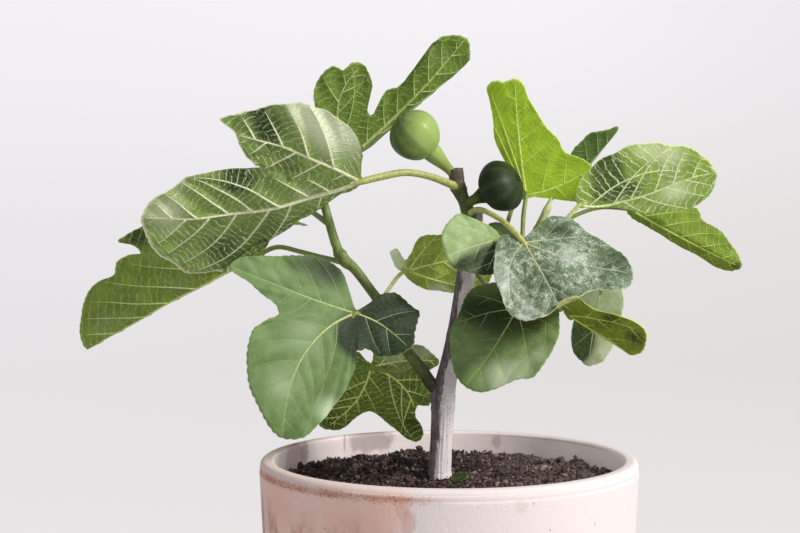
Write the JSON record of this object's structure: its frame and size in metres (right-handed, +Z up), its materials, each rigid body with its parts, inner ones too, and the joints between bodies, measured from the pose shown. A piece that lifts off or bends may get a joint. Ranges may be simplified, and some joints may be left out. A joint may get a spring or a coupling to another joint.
{
  "type": "potted fig tree",
  "caption": "Young fig tree with broad lobed leaves and small green figs on a slender trunk, growing in a round clay pot of soil that stands on its flat base.",
  "frame": {"origin": "middle of the pot's flat underside", "axes": "+Z up, -Y towards the side that the picture shows, +X to the picture's right"},
  "size_m": [0.4631, 0.2794, 0.5194],
  "materials": {
    "clay": "unglazed, chalky, stained",
    "soil": "crumbly",
    "bark": "matt",
    "green_wood": "matt",
    "stalk": "satin",
    "leaf": "satin, veined",
    "fig_skin": "satin",
    "dark_fig_skin": "satin"
  },
  "bodies": {
    "root": {"pot": "clay", "soil": "soil", "trunk": "bark", "upper_shoot": "bark", "left_branch": "green_wood", "right_shoot": "green_wood", "fig_light": "fig_skin", "fig_dark": "dark_fig_skin", "bud": "stalk", "sprout": "leaf", "leaf_upper_left": "leaf", "leaf_top": "leaf", "leaf_bright": "leaf", "leaf_behind_right": "leaf", "leaf_right": "leaf", "leaf_right_low": "leaf", "leaf_silver": "leaf", "leaf_centre": "leaf", "leaf_front_dark": "leaf", "leaf_low_right": "leaf", "leaf_behind_low_right": "leaf", "leaf_middle": "leaf", "leaf_front_left": "leaf", "leaf_low": "leaf", "leaf_far_left": "leaf", "leaf_small": "leaf", "leaf_back_left": "leaf", "leaf_back_high": "leaf", "leaf_back_right": "leaf", "leaf_back_low_right": "leaf", "leaf_back_low_left": "leaf"}
  },
  "joints": []
}
